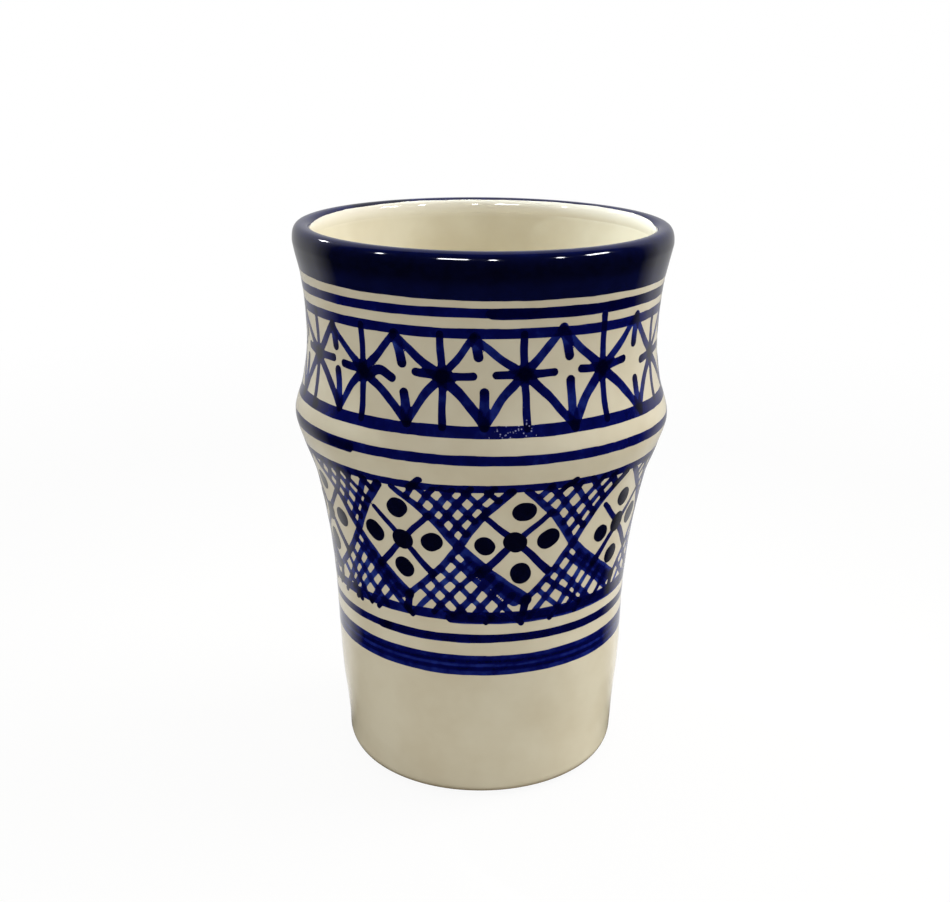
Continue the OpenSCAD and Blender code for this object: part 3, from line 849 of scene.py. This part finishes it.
# Where a cross's strokes start and end, as shares of the diamond's half width and height
CROSS_UP, CROSS_DOWN = (0.51, 0.45), (0.54, 0.52)
# The blob at a diamond's foot: how far left its end lies in degrees, and how far under the frieze
BLOB_LEFT, BLOB_UNDER, BLOB_SHARE = 0.6, 0.8, 1.05
# The dots in the front diamonds, and elsewhere from a diamond's middle as shares of its half width and height
FRONT_DOTS = (((-26.3, 59.8), (-37.3, 60.4), (-15.9, 60.2), (-26.6, 53.4), (-27, 67.1)),
              ((11.5, 60.6), (1.6, 59.9), (22.8, 60.7), (14.1, 53.3), (13.7, 67.5)),
              ((54.4, 59.8), (45.3, 58.7), (64.5, 60), (54.2, 52.4), (54.8, 65.6)))
DOT_PLACES = (0, 0), (-0.53, 0.02), (0.53, 0.02), (0, -0.5), (0, 0.52)
DOT_SIZES, DOT_INK = (3.8, 4.4), 0.9
# Dabs in front where hatching runs on over the frieze's top line
FRONT_DABS, DAB_INK = (((-21.4, 72.4), (-17.8, 74.6)), ((25.6, 72.4), (28.8, 73.8))), 0.5


def share_of(a, b, share):
    return a[0] + (b[0] - a[0]) * share, a[1] + (b[1] - a[1]) * share


def on_side(corner, touch, share):
    """A place on a diamond's side, which bows a little outwards between its top or foot and its neighbour"""
    turn, z = share_of(corner, touch, share)
    bow = 4 * share * (1 - share)
    return (turn + SIDE_BOW_TURN * bow * np.sign(touch[0] - corner[0]),
            z + SIDE_BOW_Z * bow * np.sign(corner[1] - touch[1]))


def two_sides(first, touch, last):
    """The sides of two diamonds in one stroke, from corner to corner past the place where they touch"""
    return [first, on_side(first, touch, 0.5), touch, on_side(last, touch, 0.5), last]


def hatching(film, count, side, touch, along, level, over, blobs_on_side):
    """Strokes from a diamond's side to a line of the frieze, about level with the side along them"""
    lean = (along[0] - touch[0]) / (along[1] - touch[1])
    pools = (0.3, 0.1) if blobs_on_side else (0.05, 0.3)
    for n in range(1, count + 1):
        share = (n + hand.uniform(-0.1, 0.1)) / (count + 1)
        place = on_side(side, touch, share)
        end = level + over * hand.uniform(0.1, 1)
        on_line = place[0] + hand.uniform(0.82, 1.04) * lean * (end - place[1]), end
        length = math.hypot((on_line[0] - place[0]) * film.per_degree, on_line[1] - place[1])
        start = share_of(place, on_line, hand.uniform(0, 0.8) / length)
        film.brush([start, on_line], HATCH_W * hand.uniform(0.88, 1.15), hand.uniform(0.23, 0.42), *pools)


def lattice():
    """The diamonds with their crosses and dots, and the hatching between them"""
    film, low, high = frieze("lattice", *LATTICE_SHEET)
    dots = Film(low, high, LATTICE_PITCH)
    diamonds = round_the_back(FRONT_DIAMONDS, DIAMOND_COUNT, DIAMOND_STRAY)
    behind = [turn for turn, z in diamonds[len(FRONT_DIAMONDS):]]
    tops = list(FRONT_DIAMOND_TOPS) + [
        (turn + DIAMOND_TOP_LEAN + hand.uniform(-CORNER_STRAY, CORNER_STRAY), high + hand.uniform(0, 0.4))
        for turn in behind]
    feet = list(FRONT_DIAMOND_FEET) + [
        (turn + DIAMOND_FOOT_LEAN + hand.uniform(-CORNER_STRAY, CORNER_STRAY), low + hand.uniform(1.4, 2.6))
        for turn in behind]
    half_h = (high - low) / 2
    for i, middle in enumerate(diamonds):
        half_w = (next_round(diamonds, i)[0] - middle[0]) / 2
        touch = (FRONT_TOUCHES[i] if i < len(FRONT_TOUCHES) else
                 (middle[0] + half_w + hand.uniform(-0.8, 0.8), middle[1] - hand.uniform(0.2, 1.2)))
        top, foot, next_top, next_foot = tops[i], feet[i], next_round(tops, i), next_round(feet, i)
        right_top, next_left_top = (top[0] + TOP_GAP, top[1]), (next_top[0] - TOP_GAP, next_top[1])
        film.brush(two_sides(right_top, touch, next_foot),
                   (SIDE_W * SIDE_START, SIDE_W * hand.uniform(1, 1.8)), (0.4, 0.33))
        film.brush(two_sides(foot, touch, next_left_top), (SIDE_W * SIDE_START, SIDE_W * 1.1), (0.32, 0.44),
                   start=0.1, end=0.3)
        wash = [on_side(next_foot, touch, share) for share in (WASH_FROM, WASH_TO)]
        film.brush([(turn - WASH_LEFT, z - WASH_DOWN) for turn, z in wash], (WASH_W * 0.7, WASH_W), WASH_INK,
                   start=0, end=0.1)
        hatching(film, RISING_COUNT, right_top, touch, next_left_top, high, OVER_TOP, False)
        hatching(film, FALLING_COUNT, next_left_top, touch, right_top, high, OVER_TOP, True)
        hatching(film, FALLING_COUNT, foot, touch, next_foot, low, OVER_FOOT, False)
        hatching(film, RISING_COUNT, next_foot, touch, foot, low, OVER_FOOT, False)
        film.brush([foot, (foot[0] - BLOB_LEFT, low - BLOB_UNDER)], SIDE_W * BLOB_SHARE, 0.45,
                   start=0.2, end=0.3)
        for side in (-1, 1):
            film.brush([(middle[0] - side * half_w * CROSS_UP[0], middle[1] + half_h * CROSS_UP[1]), middle,
                        (middle[0] + side * half_w * CROSS_DOWN[0], middle[1] - half_h * CROSS_DOWN[1])],
                       (CROSS_W * 0.9, CROSS_W * hand.uniform(1.05, 1.5)), 0.5, start=0.05, end=0.2)
        spots = FRONT_DOTS[i] if i < len(FRONT_DOTS) else [
            (middle[0] + across * half_w + hand.uniform(-0.5, 0.5),
             middle[1] + up * half_h + hand.uniform(-0.3, 0.3)) for across, up in DOT_PLACES]
        for turn, z in spots:
            long, slant = hand.uniform(0.2, 0.6), hand.uniform(-0.35, 0.35)
            dots.brush([(turn - long, z + slant), (turn + long, z - slant)],
                       hand.uniform(*DOT_SIZES), DOT_INK, start=0, end=0)
    for dab in FRONT_DABS:
        film.brush(dab, HATCH_W, DAB_INK)
    film.dry("lattice_strokes", "cobalt", STROKE_LIFT)
    dots.dry("lattice_dots", "deep_cobalt", DOT_LIFT)


clay_body()
outer_glaze()
inner_glaze()
rings()
broad_stripe()
rim_band()
star_strokes()
lattice()


# The studio: how much of the floor glows white to the camera near the cup, where the rest keeps its shadow,
# and the distances in millimetres between which that grows to all of it
WHITE_NEAR, SHADOW_NEAR, SHADOW_FAR = 0.93, 60, 450
# What the glaze mirrors: white behind the cup, bright near it and within so many degrees of its middle,
# dimmer and narrower farther out, and a dim room elsewhere
NEAR_HALF, FAR_HALF, WHITE_FADE = 68, 57, 21
# Degrees that the white's middle lies to the left
WHITE_LEFT = 4
MIRROR_NEAR, MIRROR_FAR, FAR_AWAY = 0.9, 0.5, 160
ROOM_LIGHT = 0.007
# The floor's own colour, which throws light up at the cup: pale up to one distance, and grey from another on
PALE_TO, GREY_FROM = 110, 240


def mirrored(tree, at, coordinates, light):
    """What the glaze mirrors of the floor or of the world, with this light behind the cup"""
    way = add(tree, "SeparateXYZ", {"Vector": (at, coordinates)})
    turn = add(tree, "Math", {0: (way, "X"), 1: (way, "Y")}, operation="ARCTAN2")
    right = add(tree, "Math", {0: (turn, "Value"), 1: math.radians(WHITE_LEFT)}, operation="ADD")
    off = add(tree, "Math", {0: (right, "Value")}, operation="ABSOLUTE")
    half = add(tree, "MapRange", {
        "Value": light, "From Min": MIRROR_FAR, "From Max": MIRROR_NEAR, "To Min": math.radians(FAR_HALF),
        "To Max": math.radians(NEAR_HALF)})
    past = add(tree, "Math", {0: (off, "Value"), 1: (half, "Result")}, operation="SUBTRACT")
    return add(tree, "MapRange", {
        "Value": (past, "Value"), "From Max": math.radians(WHITE_FADE), "To Min": light,
        "To Max": ROOM_LIGHT})


def floor():
    """A plain pale floor, white to the camera apart from the cup's faint shadow"""
    bpy.ops.object.select_all(action="DESELECT")
    bpy.ops.mesh.primitive_circle_add(vertices=96, radius=4, fill_type="NGON")
    ground = bpy.context.object
    ground.name = "floor"
    material, tree = new_material("pale_floor")
    material.cycles.emission_sampling = "NONE"
    ray = add(tree, "LightPath", {})
    at = add(tree, "TexCoord", {})
    away = add(tree, "VectorMath", {0: (at, "Object")}, operation="LENGTH")
    near = add(tree, "MapRange", {
        "Value": (away, "Value"), "From Min": SHADOW_NEAR * MM, "From Max": FAR_AWAY * MM,
        "To Min": MIRROR_NEAR, "To Max": MIRROR_FAR})
    sheet = mirrored(tree, at, "Object", (near, "Result"))
    white = add(tree, "MapRange", {
        "Value": (away, "Value"), "From Min": SHADOW_NEAR * MM, "From Max": SHADOW_FAR * MM,
        "To Min": WHITE_NEAR, "To Max": 1.0})
    shown = add(tree, "Math", {0: (white, "Result"), 1: (ray, "Is Camera Ray")}, operation="MULTIPLY")
    mirror = add(tree, "Math", {
        0: (ray, "Is Glossy Ray"), 1: (ray, "Is Transmission Ray")}, operation="MAXIMUM")
    part = add(tree, "Math", {0: (shown, "Value"), 1: (mirror, "Value")}, operation="MAXIMUM")
    bright = add(tree, "Mix", {"Factor": (ray, "Is Camera Ray"), "A": (sheet, "Result"), "B": 1.0})
    beyond = add(tree, "MapRange", {
        "Value": (away, "Value"), "From Min": PALE_TO * MM, "From Max": GREY_FROM * MM})
    paint = add(tree, "Mix", {
        "Factor": (beyond, "Result"), "A": colour("#dddbd5"), "B": colour("#9a9893")}, data_type="RGBA")
    pale = add(tree, "BsdfDiffuse", {"Color": (paint, 2)})
    glow = add(tree, "Emission", {"Color": colour("#ffffff"), "Strength": (bright, 0)})
    both = add(tree, "MixShader", {0: (part, "Value"), 1: (pale, "BSDF"), 2: (glow, "Emission")})
    add(tree, "OutputMaterial", {"Surface": (both, "Shader")})
    ground.data.materials.append(material)


# The world's light on the cup: its mean, and how it grows to the right, to the back and upwards
EVEN_LIGHT, MORE_LIGHT = 1.04, [-0.15, 0.48, 0.0]


def world():
    """Soft light from all round, more of it from behind and a little more from the left"""
    studio = bpy.data.worlds.new("studio")
    bpy.context.scene.world = studio
    studio.use_nodes = True
    tree = studio.node_tree
    tree.nodes.clear()
    at = add(tree, "TexCoord", {})
    sheet = mirrored(tree, at, "Generated", MIRROR_FAR)
    more = add(tree, "VectorMath", {0: (at, "Generated"), 1: MORE_LIGHT}, operation="DOT_PRODUCT")
    light = add(tree, "Math", {0: (more, "Value"), 1: EVEN_LIGHT}, operation="ADD")
    ray = add(tree, "LightPath", {})
    mirror = add(tree, "Math", {
        0: (ray, "Is Glossy Ray"), 1: (ray, "Is Transmission Ray")}, operation="MAXIMUM")
    lit = add(tree, "Mix", {"Factor": (mirror, "Value"), "A": (light, "Value"), "B": (sheet, "Result")})
    seen = add(tree, "Mix", {"Factor": (ray, "Is Camera Ray"), "A": (lit, 0), "B": 1.0})
    sky = add(tree, "Background", {"Color": colour("#ffffff"), "Strength": (seen, 0)})
    add(tree, "OutputWorld", {"Surface": (sky, "Background")})


# The lamps: turn to the right of the front and height in degrees, distance, length and width in millimetres,
# and watts
SOFTBOX = 104, 42, 1000, 500, 500, 7
CEILING_LAMPS = ((-124, 35, 1200, 80, 110, 1.4), (-66, 35, 1200, 80, 110, 1.4),
                 (-18, 35, 1200, 320, 110, 5.8), (6, 33, 1200, 80, 110, 1.4),
                 (48, 35, 1200, 80, 110, 1.4), (75, 35, 1200, 280, 110, 5))
# The spot into the mouth: turn and height in degrees, distance from the mouth and half its light's width in
# millimetres, and watts; the share of its light that fades, its own size in millimetres, and its cool white
SPOT_TURN, SPOT_UP, SPOT_AWAY, SPOT_REACH, SPOT_WATTS = -128, 58, 500, 37, 34
SPOT_FADE, SPOT_SIZE, SPOT_COLOUR = 0.4, 20, "#e4f4ff"


def lamp(name, turn, up, away, length, width, watts):
    a, up, away = math.radians(turn), math.radians(up), away * MM
    bpy.ops.object.light_add(type="AREA", location=(away * math.cos(up) * math.sin(a),
                                                    -away * math.cos(up) * math.cos(a), away * math.sin(up)))
    new = bpy.context.object
    new.name = name
    new.data.shape = "RECTANGLE"
    new.data.size, new.data.size_y = length * MM, width * MM
    new.data.energy = watts
    new.rotation_euler = (-new.location).to_track_quat("-Z", "Y").to_euler()
    return new


def lamps():
    """A large soft lamp on the right, a spot into the mouth from behind on the left, and small bright lamps
    that leave sparks on the lip"""
    lamp("softbox", *SOFTBOX).visible_glossy = False
    for row in CEILING_LAMPS:
        lamp("ceiling_lamp", *row).visible_diffuse = False
    a, up = math.radians(SPOT_TURN), math.radians(SPOT_UP)
    way = Vector((math.cos(up) * math.sin(a), -math.cos(up) * math.cos(a), math.sin(up)))
    bpy.ops.object.light_add(type="SPOT", location=way * SPOT_AWAY * MM + Vector((0, 0, RIM_Z * MM)))
    spot = bpy.context.object
    spot.name = "mouth_spot"
    spot.rotation_euler = way.to_track_quat("Z", "Y").to_euler()
    spot.data.spot_size, spot.data.spot_blend = 2 * math.atan2(SPOT_REACH, SPOT_AWAY), SPOT_FADE
    spot.data.shadow_soft_size = SPOT_SIZE * MM
    spot.data.energy = SPOT_WATTS
    spot.data.color = colour(SPOT_COLOUR)[:3]
    spot.visible_glossy = False


def camera():
    """The photo's camera"""
    bpy.ops.object.camera_add()
    eye = bpy.context.object
    eye.data.sensor_width = SENSOR_MM
    eye.data.lens = FOCAL_PX / PHOTO_W * SENSOR_MM
    eye.matrix_world = (Matrix.Translation((0, CAMERA_Y * MM, CAMERA_Z * MM))
                        @ Matrix.Rotation(math.radians(CAMERA_YAW), 4, "Z")
                        @ Matrix.Rotation(math.radians(90 - CAMERA_DOWN), 4, "X")
                        @ Matrix.Rotation(math.radians(CAMERA_ROLL), 4, "Z"))
    bpy.context.scene.camera = eye


floor()
world()
lamps()
camera()
bpy.context.scene.view_settings.view_transform = "Standard"
